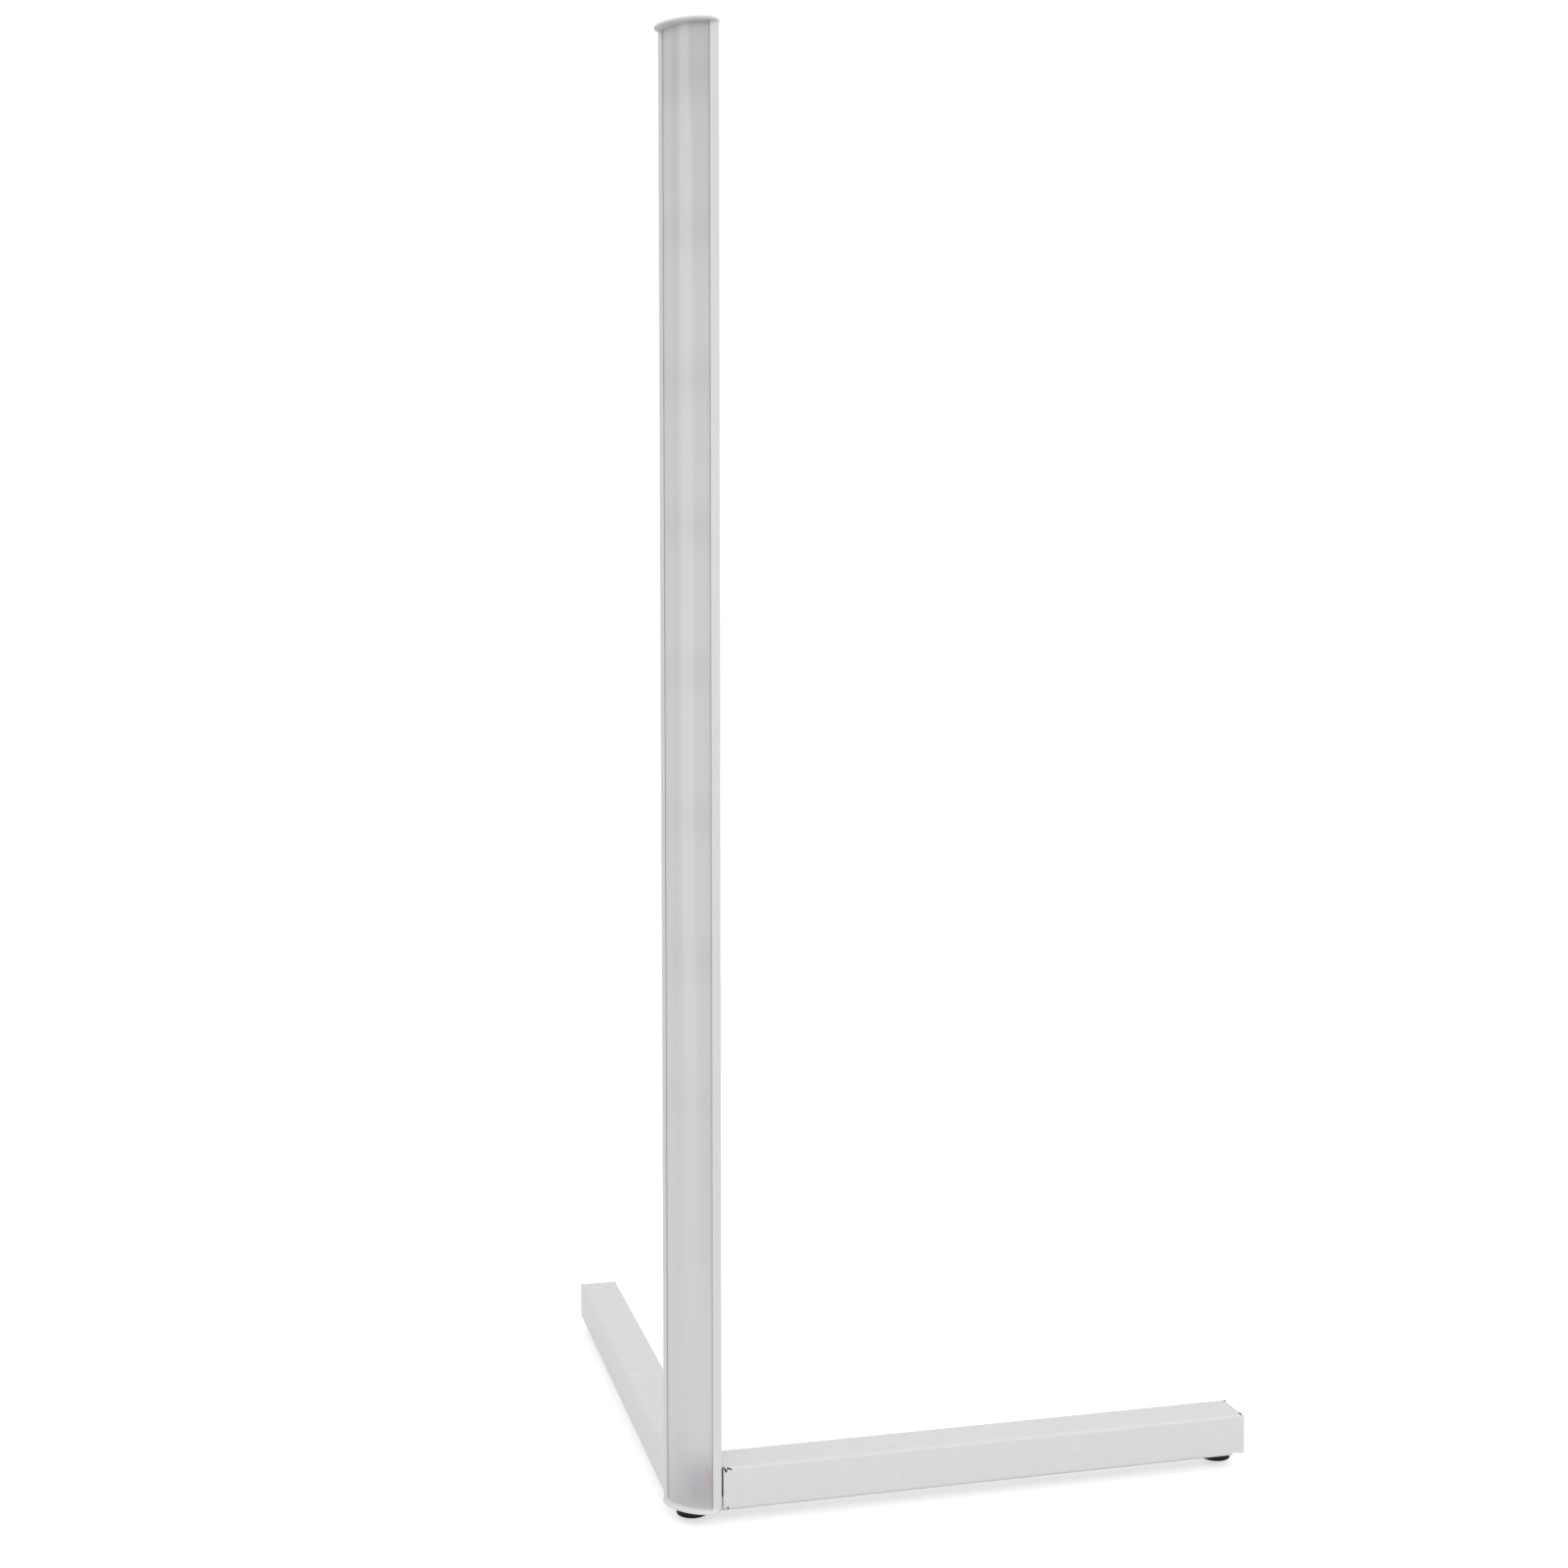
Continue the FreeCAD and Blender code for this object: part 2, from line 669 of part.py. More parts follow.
def make_driver_board():
    half = "board_width / 2"
    strip_layer("board_pad", half, "web_distance", BOARD_BACK, "board_low", "board_height")
    strip_layer("control_board", half, BOARD_BACK, BOARD_FRONT, "board_low", "board_height")

    side = "connector_width / 2"
    plug_front = f"({BOARD_FRONT} + connector_depth)"
    top_low = "board_low + board_height - connector_height"
    strip_layer("input_connector", side, BOARD_FRONT, plug_front, "board_low", "connector_height")
    strip_layer("strip_connector", side, BOARD_FRONT, plug_front, top_low, "connector_height")

    # chip to the left of the middle, capacitor standing out of the board to the right
    middle = "board_low + board_height / 2"
    chip = strip_body("control_chip")
    chip_left = f"chip_inset - {half}"
    chip_front = f"-({BOARD_FRONT} + chip_thickness)"
    chip_low = f"{middle} - chip_size / 2"
    block(chip, chip_left, f"{chip_left} + chip_size", chip_front, f"-{BOARD_FRONT}", chip_low, "chip_size")
    capacitor = strip_body("capacitor")
    can = add_sketch(capacitor, "XZ_Plane", BOARD_FRONT)
    draw_circle(can, f"{half} - chip_inset - capacitor_radius", middle, "capacitor_radius")
    extrude(capacitor, can, "capacitor_length")


def make_leads():
    # from the top of the driver board to the end of the light strip
    plug_middle = f"-({BOARD_FRONT} + connector_depth / 2)"
    board_top = "(board_low + board_height)"
    pad_front = f"-({STRIP_FRONT} + strip_lead_radius)"
    routes = []
    for x in ("-connector_spacing", "connector_spacing"):
        leave = vector(x, plug_middle, board_top)
        rise = vector(x, plug_middle, f"(2 * {board_top} + {STRIP_END}) / 3")
        reach = vector(x, pad_front, f"({board_top} + 2 * {STRIP_END}) / 3")
        routes.append([leave, rise, reach, vector(x, pad_front, f"{STRIP_END} + connector_spacing")])
    add_tubes("strip_leads", routes, "strip_lead_radius")

    # from the inlet, through the hole in the web, to the underside of the board's connector
    jack_back = "(wall + jack_body_depth)"
    hole = vector("0", "-web_distance", "wire_hole_height")
    right_loop = [(1.8, -5, -2), (8, -10, -4.5), (15, -11, -5.5), (19.5, -10, -1), (17, -8.5, 6), (9, -7, 8)]
    left_loop = [(-1.8, -5, -1), (-6, -9, -2), (-9, -9.5, 2), (-6.5, -8, 7)]
    for name, side, bends in (("red_lead", 1, right_loop), ("black_lead", -1, left_loop)):
        tag = f"(-jack_distance + {side} * jack_tag_spacing)"
        across = f"({tag} + {jack_back}) / sqrt(2)"
        start = vector(across, f"({tag} - {jack_back}) / sqrt(2)", "jack_height")
        outward = FreeCAD.Vector(1, -1, 0)
        exit_point = start + outward * 2
        above = hole + FreeCAD.Vector(side * 1.6, 4.2, 8)
        through = hole + FreeCAD.Vector(side * 1.7, 3.2, 1.5)
        plug = vector(f"{side} * connector_spacing", plug_middle, "board_low")
        below = plug - FreeCAD.Vector(0, 0, 3.6)
        route = [start, exit_point, above, through]
        route += [hole + FreeCAD.Vector(*bend) for bend in bends]
        add_tubes(name, [route + [below, plug]], "lead_radius")


def make_inlet():
    body = add_body("dc_jack", "corner_offset - jack_distance", "corner_offset", "foot_height + jack_height")
    back = "-(wall + jack_body_depth)"
    bore_end = f"{back} + jack_floor"
    pin_end = "jack_nose - jack_pin_recess"
    sketch = add_sketch(body)
    draw_polygon(
        sketch,
        [
            ("0", back),
            ("jack_body_radius", back),
            ("jack_body_radius", "-wall"),
            ("jack_thread_radius", "-wall"),
            ("jack_thread_radius", "jack_nose"),
            ("jack_bore_radius", "jack_nose"),
            ("jack_bore_radius", bore_end),
            ("jack_pin_radius", bore_end),
            ("jack_pin_radius", pin_end),
            ("0", pin_end),
        ],
    )
    turned = body.newObject("PartDesign::Revolution", "dc_jack_turned")
    turned.Profile = sketch
    turned.ReferenceAxis = (origin_feature(body, "Y_Axis"), [""])
    doc.recompute()

    nut = add_body("jack_nut", "corner_offset - jack_distance", "corner_offset", "foot_height + jack_height")
    across = add_sketch(nut, "XZ_Plane", "-jack_nut_thickness")
    half = "jack_nut_radius / 2"
    flat = "jack_nut_radius * sqrt(3) / 2"
    draw_polygon(
        across,
        [
            ("jack_nut_radius", "0"),
            (half, flat),
            (f"-{half}", flat),
            ("-jack_nut_radius", "0"),
            (f"-{half}", f"-{flat}"),
            (half, f"-{flat}"),
        ],
    )
    extrude(nut, across, "jack_nut_thickness")
    thread = add_sketch(nut, "XZ_Plane", "-jack_nut_thickness")
    draw_circle(thread, "0", "0", "jack_thread_radius + thread_clearance")
    cut(nut, thread, "jack_nut_thickness")


def make_leg(name, side):
    """Channel folded from one sheet, with inward lips below and a flap at each end."""
    body = leg_body(name, side, "leg_lift")
    half = "leg_width / 2"
    inside = f"({half} - leg_sheet)"
    lip_edge = f"({half} - leg_lip)"
    under_top = "leg_height - leg_sheet"
    section = add_sketch(body, "YZ_Plane", "wall_start")
    draw_polygon(
        section,
        [
            (f"-{half}", "0"),
            (f"-{lip_edge}", "0"),
            (f"-{lip_edge}", "leg_sheet"),
            (f"-{inside}", "leg_sheet"),
            (f"-{inside}", under_top),
            (inside, under_top),
            (inside, "leg_sheet"),
            (lip_edge, "leg_sheet"),
            (lip_edge, "0"),
            (half, "0"),
            (half, "leg_height"),
            (f"-{half}", "leg_height"),
        ],
    )
    extrude(body, section, "leg_length - wall_start")
    middle = "leg_length / 2"
    outer_bends = [(middle, f"{sign}{half}", level) for sign in "+-" for level in ("0", "leg_height")]
    inner_bends = [(middle, f"{sign}{inside}", level) for sign in "+-" for level in ("leg_sheet", under_top)]
    round_edges(body, outer_bends, "leg_bend")
    round_edges(body, inner_bends, "leg_bend - leg_sheet")

    # end flaps, folded down from the top, with room for the near one's bend between the side walls
    flat_half = f"({half} - leg_bend)"
    room = add_sketch(body, lift="leg_height")
    draw_polygon(room, rectangle("0", "leg_bend", f"-{flat_half}", flat_half))
    cut(body, room, "leg_bend", forward=False)
    join_end = "3 * leg_bend"
    near_low = "bottom_cap_thickness + slip_clearance - leg_lift"
    for outer, sign, low in (("0", "+", near_low), ("leg_length", "-", "lip_relief")):
        flap = add_sketch(body, "XZ_Plane", f"-{FLAP_WIDTH} / 2")
        draw_polygon(
            flap,
            [
                (outer, low),
                (f"{outer} {sign} leg_sheet", low),
                (f"{outer} {sign} leg_sheet", under_top),
                (f"{outer} {sign} ({join_end})", under_top),
                (f"{outer} {sign} ({join_end})", "leg_height"),
                (outer, "leg_height"),
            ],
        )
        extrude(body, flap, FLAP_WIDTH)
    round_edges(body, [("0", "0", "leg_height")], "leg_bend")
    round_edges(body, [("leg_sheet", "0", under_top)], "leg_bend - leg_sheet")

    # reliefs at the near end of both side walls: a zigzag slit in the top bend, a hole in the bottom one
    zigzag = [(0.26, 0.96), (0.4, 1), (0.55, 0.38), (0.94, 0.65), (1, 0.4), (0.5, 0.06), (0.36, 0.55)]
    slit = [(f"relief_start + {x} * relief_reach", f"leg_height - {z} * relief_drop") for x, z in zigzag]
    slit.append(("relief_start + relief_slit", "leg_height + relief_slit"))
    slit.append(("relief_start", "leg_height + relief_slit"))
    for lift in (f"-{half}", f"{half} - leg_bend"):
        reliefs = add_sketch(body, "XZ_Plane", lift)
        draw_polygon(reliefs, slit)
        draw_circle(reliefs, "lip_start - drain_radius", "drain_lift", "drain_radius")
        cut(body, reliefs, "leg_bend")

    # relief holes in the far corners of the top, with the far flap's bend between them
    corners = add_sketch(body, lift="leg_height")
    for sign in "+-":
        draw_circle(corners, "leg_length - 0.6 * leg_bend", f"{sign}{flat_half}", "corner_relief_radius")
    cut(body, corners, "leg_bend", forward=False)
    round_edges(body, [("leg_length", "0", "leg_height")], "leg_bend")
    round_edges(body, [("leg_length - leg_sheet", "0", under_top)], "leg_bend - leg_sheet")

    # lips cut back at both ends
    near_cut = add_sketch(body)
    draw_polygon(near_cut, rectangle("0", "lip_start", f"-{flat_half}", flat_half))
    cut(body, near_cut, "leg_sheet")
    far_cut = add_sketch(body, "XZ_Plane", f"-{half}")
    draw_polygon(
        far_cut,
        [
            ("leg_length - lip_end", "0"),
            ("leg_length", "0"),
            ("leg_length", "lip_relief_end"),
            ("leg_length - lip_end", "lip_relief"),
        ],
    )
    cut(body, far_cut, "leg_width")

    holes = add_sketch(body, "YZ_Plane")
    for lift in ("leg_screw_low", "leg_screw_low + leg_screw_spacing"):
        draw_circle(holes, screw_line(side), f"{lift} - leg_lift", "leg_screw_radius + hole_clearance")
    cut(body, holes, "leg_sheet")


def make_foot_plate(name, side):
    """Plate that lies on the leg's lips and carries the foot's nut."""
    body = leg_body(f"{name}_foot_plate", side, "leg_lift")
    centre = "(leg_length - foot_inset)"
    half = "(leg_width / 2 - leg_bend - foot_plate_clearance)"
    near = f"{centre} - foot_plate_length / 2"
    block(body, near, f"{near} + foot_plate_length", f"-{half}", half, "leg_sheet", "foot_plate_thickness")
    hole = add_sketch(body, lift="leg_sheet")
    draw_circle(hole, centre, "0", "stud_radius + hole_clearance")
    cut(body, hole, "foot_plate_thickness")


def make_foot(name, x, y, seat):
    """Levelling foot: hexagon nut on its seat, stud and round pad."""
    nut_low = f"(foot_height + {seat})"
    blank = solid("Prism", f"{name}_nut_blank", Circumradius="foot_nut_flats / sqrt(3)")
    thread = solid("Cylinder", f"{name}_nut_thread", Radius="stud_radius + thread_clearance")
    for item in (blank, thread):
        bind(item, "Height", "foot_nut_height")
        place(item, x, y, nut_low, 15)
    nut = subtract(f"{name}_foot_nut", blank, thread)
    nut.Label = f"{name}_foot_nut"
    nodes.append(nut)

    stud = add_body(f"{name}_foot_stud", x, y)
    low = "(foot_floor + thread_clearance)"
    rod = add_sketch(stud, lift=low)
    draw_circle(rod, "0", "0", "stud_radius")
    top = f"({nut_low} + foot_nut_height + foot_travel + stud_chamfer)"
    extrude(stud, rod, f"{top} - {low}")
    round_edges(stud, [("0", "stud_radius", top)], "stud_chamfer", "Chamfer", "Size")

    pad = add_body(f"{name}_foot_pad", x, y)
    disc = add_sketch(pad)
    draw_circle(disc, "0", "0", "foot_diameter / 2")
    extrude(pad, disc, "foot_height - foot_gap")
    round_edges(pad, [("0", "foot_diameter / 2", "0")], "foot_rim")
    socket = add_sketch(pad, lift="foot_floor")
    draw_circle(socket, "0", "0", "stud_radius + thread_clearance")
    cut(pad, socket, "foot_height - foot_gap - foot_floor")


def make_base():
    for side, name in ((1, "right"), (-1, "left")):
        make_leg(f"{name}_leg", side)
        make_foot_plate(name, side)
    make_foot("column", "0", "0", "bottom_cap_thickness")
    leg_seat = "leg_lift + leg_sheet + foot_plate_thickness"
    make_foot("right", FOOT_X, "0", leg_seat)
    make_foot("left", "0", FOOT_X, leg_seat)


def write_parts():
    doc.recompute()
    for item in doc.Objects:
        if "Invalid" in item.State or "Error" in item.State:
            raise ValueError(f"{item.Label} failed to build")
    for node in nodes:
        if node.Shape.isNull() or not node.Shape.isValid():
            raise ValueError(f"{node.Label} has no valid shape")
    os.makedirs("parts", exist_ok=True)
    for node in nodes:
        node.Shape.exportStep(f"parts/{node.Label}.step")


make_column_profile()
make_diffuser()
make_caps()
make_fasteners()
make_light_strip()
make_driver_board()
make_leads()
make_inlet()
make_base()
write_parts()
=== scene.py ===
import json
import math

import bmesh
import bpy
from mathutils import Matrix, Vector


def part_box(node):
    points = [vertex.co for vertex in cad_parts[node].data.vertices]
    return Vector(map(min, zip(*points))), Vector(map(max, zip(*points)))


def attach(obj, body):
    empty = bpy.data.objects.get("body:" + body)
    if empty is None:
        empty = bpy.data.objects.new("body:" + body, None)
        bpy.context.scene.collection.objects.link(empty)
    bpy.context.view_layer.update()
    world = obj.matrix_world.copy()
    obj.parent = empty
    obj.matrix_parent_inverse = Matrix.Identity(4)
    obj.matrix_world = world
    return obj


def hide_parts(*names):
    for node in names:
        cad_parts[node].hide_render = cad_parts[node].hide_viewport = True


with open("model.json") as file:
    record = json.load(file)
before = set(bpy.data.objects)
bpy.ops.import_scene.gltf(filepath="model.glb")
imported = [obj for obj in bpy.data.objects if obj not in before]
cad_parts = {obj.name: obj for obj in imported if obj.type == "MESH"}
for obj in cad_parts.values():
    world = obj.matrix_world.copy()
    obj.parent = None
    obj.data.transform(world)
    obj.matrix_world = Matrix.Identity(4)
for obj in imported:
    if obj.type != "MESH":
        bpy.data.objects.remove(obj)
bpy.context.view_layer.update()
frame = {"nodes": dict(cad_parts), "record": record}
lamp = frame["nodes"]

# Places and sizes on the column, strip, legs, feet and inlet, in metres in the lamp's frame
CORNER = 0.02365
COLUMN_FOOT, COLUMN_TOP = 0.0103, 1.4035
FIRST_CLIP, CLIP_PITCH = 0.1311, 0.1357
LED_PITCH = CLIP_PITCH / 6
LEG_INSIDE, LEG_UNDERSIDE, LEG_CEILING, LEG_END = 0.02035, 0.0069, 0.0481, 0.57115
CORNER_HOLE_ALONG, CORNER_HOLE_ACROSS, CORNER_HOLE = 0.57055, 0.01835, 0.0024
THREAD_PITCH, THREAD_DEPTH, STUD_CHAMFER = 0.00125, 0.00065, 0.0008
LED_WINDOW, INLET_PIN, INLET_FLOOR = 0.0018, 0.0012, 0.0150
# The floor lies at the lowest reach of the feet, so they stay in sight when they are screwed out
FLOOR, FLOOR_RADIUS, FLOOR_SIDES = -0.0064, 14, 64
# The soft shade on the floor: its middle and reach, and where it stops towards the front
SHADE_MIDDLE, SHADE_REACH, SHADE_CORE = 0.029, 0.042, 0.006
SHADE_FRONT, SHADE_FULL, SHADE_DEPTH = 0.0100, 0.0155, 0.75
# The photograph's camera: place in metres, angles in degrees, lens and sensor in millimetres
CAMERA_PLACE, CAMERA_DOWN, CAMERA_RIGHT = (-0.38062, -1.843, 0.8234), 3.619, 14.36
CAMERA_LENS, CAMERA_SENSOR = 45.825, 36.0


def set_inputs(tree, node, inputs):
    """Set a node's inputs, each given as a value or as a socket to link."""
    for name, value in dict(inputs).items():
        if isinstance(value, bpy.types.NodeSocket):
            tree.links.new(value, node.inputs[name])
        else:
            node.inputs[name].default_value = value


def add_node(tree, kind, inputs=(), **settings):
    """A shader node with its settings and inputs."""
    node = tree.nodes.new(kind)
    for name, value in settings.items():
        setattr(node, name, value)
    set_inputs(tree, node, inputs)
    return node


def figure(tree, operation, *values, clamp=False):
    """Result of a math node on values or sockets."""
    node = add_node(tree, "ShaderNodeMath", enumerate(values), operation=operation, use_clamp=clamp)
    return node.outputs[0]


def soft_step(tree, value, start, end, low=0.0, high=1.0):
    """Smooth change from low to high as the value goes from start to end."""
    inputs = {"Value": value, "From Min": start, "From Max": end, "To Min": low, "To Max": high}
    return add_node(tree, "ShaderNodeMapRange", inputs, interpolation_type="SMOOTHSTEP").outputs[0]


def soft_spot(tree, value, middle, reach):
    """1 at the middle, fading smoothly to 0 at the reach on both sides of it."""
    return soft_step(tree, figure(tree, "ABSOLUTE", figure(tree, "SUBTRACT", value, middle)), reach, 0.0)


def blend(tree, share, first, second):
    """Colour mix: sockets 0, 6 and 7 of the node are the share and the two colours."""
    return add_node(tree, "ShaderNodeMix", {0: share, 6: first, 7: second}, data_type="RGBA").outputs[2]


def place_in(tree):
    """Object coordinates, which are the lamp's own metres and move with the piece."""
    return add_node(tree, "ShaderNodeTexCoord").outputs["Object"]


def axes_in(tree):
    """The three object coordinates, each as a socket of its own."""
    return add_node(tree, "ShaderNodeSeparateXYZ", {0: place_in(tree)}).outputs


def noise(tree, scale, detail=2.0, where=None):
    """Noise over a piece, in its object coordinates unless told otherwise."""
    inputs = {"Vector": where or place_in(tree), "Scale": scale, "Detail": detail}
    return add_node(tree, "ShaderNodeTexNoise", inputs).outputs["Fac"]


def grey(level, warmth=0.0):
    """A grey of that level; warmth takes some blue out of it."""
    return (level, level, level * (1 - warmth), 1.0)


def start_group(name, inputs, outputs):
    """An empty shader node group with named sockets."""
    group = bpy.data.node_groups.new(name, "ShaderNodeTree")
    for label, kind, value in inputs:
        socket = group.interface.new_socket(name=label, in_out="INPUT", socket_type=f"NodeSocket{kind}")
        socket.default_value = value
    for label, kind in outputs:
        group.interface.new_socket(name=label, in_out="OUTPUT", socket_type=f"NodeSocket{kind}")
    return group, group.nodes.new("NodeGroupInput").outputs, group.nodes.new("NodeGroupOutput").inputs


def link_out(group, ends, **sockets):
    """Link sockets to the named outputs of a group."""
    for label, socket in sockets.items():
        group.links.new(socket, ends[label])


def make_coat_group():
    """Sprayed or moulded finish: cloudy colour, fine peel and a roughness that follows it."""
    group, given, ends = start_group(
        "coat_finish",
        [
            ("Color", "Color", grey(0.8)),
            ("Cloud Color", "Color", grey(0.75)),
            ("Cloud Scale", "Float", 120.0),
            ("Peel Scale", "Float", 1200.0),
            ("Roughness", "Float", 0.4),
            ("Roughness Spread", "Float", 0.1),
        ],
        [("Color", "Color"), ("Roughness", "Float"), ("Height", "Float")],
    )
    clouds = noise(group, given["Cloud Scale"], 3.0)
    peel = noise(group, given["Peel Scale"], 2.0)
    share = soft_step(group, clouds, 0.32, 0.68)
    spread = figure(group, "MULTIPLY", figure(group, "SUBTRACT", clouds, 0.5), given["Roughness Spread"])
    link_out(
        group,
        ends,
        Color=blend(group, share, given["Color"], given["Cloud Color"]),
        Roughness=figure(group, "ADD", given["Roughness"], spread),
        Height=peel,
    )
    return group


def make_metal_group():
    """Bare or plated metal: blotchy tint and fine drawn lines."""
    group, given, ends = start_group(
        "metal_finish",
        [
            ("Color", "Color", grey(0.6)),
            ("Tarnish Color", "Color", grey(0.5)),
            ("Blotch Scale", "Float", 260.0),
            ("Line Scale", "Float", 2400.0),
            ("Roughness", "Float", 0.32),
        ],
        [("Color", "Color"), ("Roughness", "Float"), ("Height", "Float")],
    )
    blotches = noise(group, given["Blotch Scale"], 4.0)
    stretched = add_node(group, "ShaderNodeMapping", {"Vector": place_in(group), "Scale": (1.0, 1.0, 0.08)})
    lines = noise(group, given["Line Scale"], 2.0, stretched.outputs[0])
    rough = figure(group, "MULTIPLY_ADD", figure(group, "SUBTRACT", lines, 0.5), 0.22, given["Roughness"])
    link_out(
        group,
        ends,
        Color=blend(group, soft_step(group, blotches, 0.35, 0.7), given["Color"], given["Tarnish Color"]),
        Roughness=rough,
        Height=lines,
    )
    return group


def make_dust_and_top_shade_group():
    """Faint dusting that settles on faces that look up, and painted shade that darkens them."""
    group, given, ends = start_group("settled_dust_and_top_shade", [("Scale", "Float", 70.0)], [("Mask", "Float")])
    normal = add_node(group, "ShaderNodeNewGeometry").outputs["Normal"]
    up = add_node(group, "ShaderNodeSeparateXYZ", {0: normal}).outputs["Z"]
    specks = soft_step(group, noise(group, given["Scale"], 6.0), 0.4, 0.75, 0.7, 1.0)
    link_out(group, ends, Mask=figure(group, "MULTIPLY", soft_step(group, up, 0.55, 0.95), specks))
    return group


COAT, METAL, DUST_AND_TOP_SHADE = make_coat_group(), make_metal_group(), make_dust_and_top_shade_group()


def start_material(name):
    """A material with its tree and its principled shader."""
    material = bpy.data.materials.new(name)
    material.use_nodes = True
    return material, material.node_tree, material.node_tree.nodes["Principled BSDF"]


def set_shader(tree, shader, inputs, height, depth=0.00002, strength=0.4):
    """Set the shader's inputs and give it a bump of that height, depth in metres."""
    set_inputs(tree, shader, inputs)
    bump = add_node(tree, "ShaderNodeBump", {"Height": height, "Strength": strength, "Distance": depth})
    tree.links.new(bump.outputs[0], shader.inputs["Normal"])


def use_group(tree, group, **values):
    """Place a node group in a material with its own values."""
    node = add_node(tree, "ShaderNodeGroup", node_tree=group)
    for name, value in values.items():
        node.inputs[name.replace("_", " ").title()].default_value = value
    return node.outputs


def height_share(start, end):
    """Share that goes from 0 to 1 between two heights on the column."""

    def share(tree):
        return soft_step(tree, axes_in(tree)["Z"], start, end)

    return share


def distance(tree, first, second):
    """Length of two offsets at a right angle."""
    squares = [figure(tree, "MULTIPLY", offset, offset) for offset in (first, second)]
    return figure(tree, "SQRT", figure(tree, "ADD", *squares))


def leg_place(tree):
    """Distance along a leg, to the side of its middle, and the height."""
    x, y, z = axes_in(tree)
    across = figure(tree, "MINIMUM", figure(tree, "ABSOLUTE", x), figure(tree, "ABSOLUTE", y))
    return figure(tree, "MAXIMUM", x, y), across, z


def leg_inside_painted_shade(tree):
    """1 on the faces inside the folded legs, which are painted a dark shade."""
    along, across, z = leg_place(tree)
    share = soft_step(tree, z, LEG_UNDERSIDE + 0.0002, LEG_UNDERSIDE + 0.0004)
    for value, face in ((across, LEG_INSIDE), (z, LEG_CEILING), (along, LEG_END)):
        share = figure(tree, "MULTIPLY", share, soft_step(tree, value, face + 0.0003, face + 0.0001))
    return share


def corner_hole_painted_shade(tree):
    """1 in the small holes at the corners of the legs' far ends, which are painted dark as shade."""
    along, across, _ = leg_place(tree)
    aside = figure(tree, "SUBTRACT", across, CORNER_HOLE_ACROSS)
    off = distance(tree, figure(tree, "SUBTRACT", along, CORNER_HOLE_ALONG), aside)
    return soft_step(tree, off, CORNER_HOLE + 0.0001, CORNER_HOLE + 0.00005)


def powder_coat(name, color, clouds, shades, cloud_scale, peel_scale, depth, film):
    """White powder coat with a soft peel, a dusting and painted shade on top, and painted light and shade on
    some parts.
    """
    material, tree, shader = start_material(name)
    scales = {"cloud_scale": cloud_scale, "peel_scale": peel_scale}
    coat = use_group(tree, COAT, color=color, cloud_color=clouds, **scales)
    # dusting and painted shade on faces that look up
    dust_and_top_shade = use_group(tree, DUST_AND_TOP_SHADE)["Mask"]
    dusty_and_shaded = figure(tree, "MULTIPLY", dust_and_top_shade, film)
    shade = coat["Color"]
    # painted light and shade: parts made lighter or darker than the coat
    for share, shade_color in shades:
        shade = blend(tree, share(tree), shade, shade_color)
    inputs = {
        "Base Color": blend(tree, dusty_and_shaded, shade, grey(0.5)),
        "Roughness": figure(tree, "MULTIPLY_ADD", dust_and_top_shade, 0.08, coat["Roughness"]),
        "Specular IOR Level": 0.3,
    }
    set_shader(tree, shader, inputs, coat["Height"], depth)
    return material


def moulded(name, color, clouds, roughness=0.45, cloud_scale=300.0, peel_scale=2500.0, shine=0.5):
    """Moulded plastic, rubber, tape or insulation."""
    material, tree, shader = start_material(name)
    coat = use_group(
        tree,
        COAT,
        color=color,
        cloud_color=clouds,
        cloud_scale=cloud_scale,
        peel_scale=peel_scale,
        roughness=roughness,
    )
    inputs = {"Base Color": coat["Color"], "Roughness": coat["Roughness"], "Specular IOR Level": shine}
    set_shader(tree, shader, inputs, coat["Height"])
    return material


def bare_metal(name, color, tarnish, roughness=0.32):
    """Bare or plated metal without paint."""
    material, tree, shader = start_material(name)
    metal = use_group(tree, METAL, color=color, tarnish_color=tarnish, roughness=roughness)
    inputs = {"Base Color": metal["Color"], "Roughness": metal["Roughness"], "Metallic": 1.0}
    set_shader(tree, shader, inputs, metal["Height"], 0.00001, 0.25)
    return material


def front_levels(tree, z):
    """Grey level along the front's height, with painted shade: darker under the top cap and near the driver
    board.
    """
    span = {"Value": z, "From Min": COLUMN_FOOT, "From Max": COLUMN_TOP}
    height = add_node(tree, "ShaderNodeMapRange", span)
    levels = add_node(tree, "ShaderNodeValToRGB", {"Fac": height.outputs[0]})
    ramp = levels.color_ramp
    ramp.interpolation = "EASE"
    # painted shade at the lower end and under the top cap
    stops = [
        (0.0, 0.59),
        (0.014, 0.62),
        (0.032, 0.68),
        (0.06, 0.725),
        (0.55, 0.70),
        (0.8, 0.672),
        (0.93, 0.622),
        (1.0, 0.567),
    ]
    for element, (place, level) in zip(ramp.elements, (stops[0], stops[-1])):
        element.position, element.color = place, grey(level)
    for place, level in stops[1:-1]:
        ramp.elements.new(place).color = grey(level)
    return levels.outputs[0]


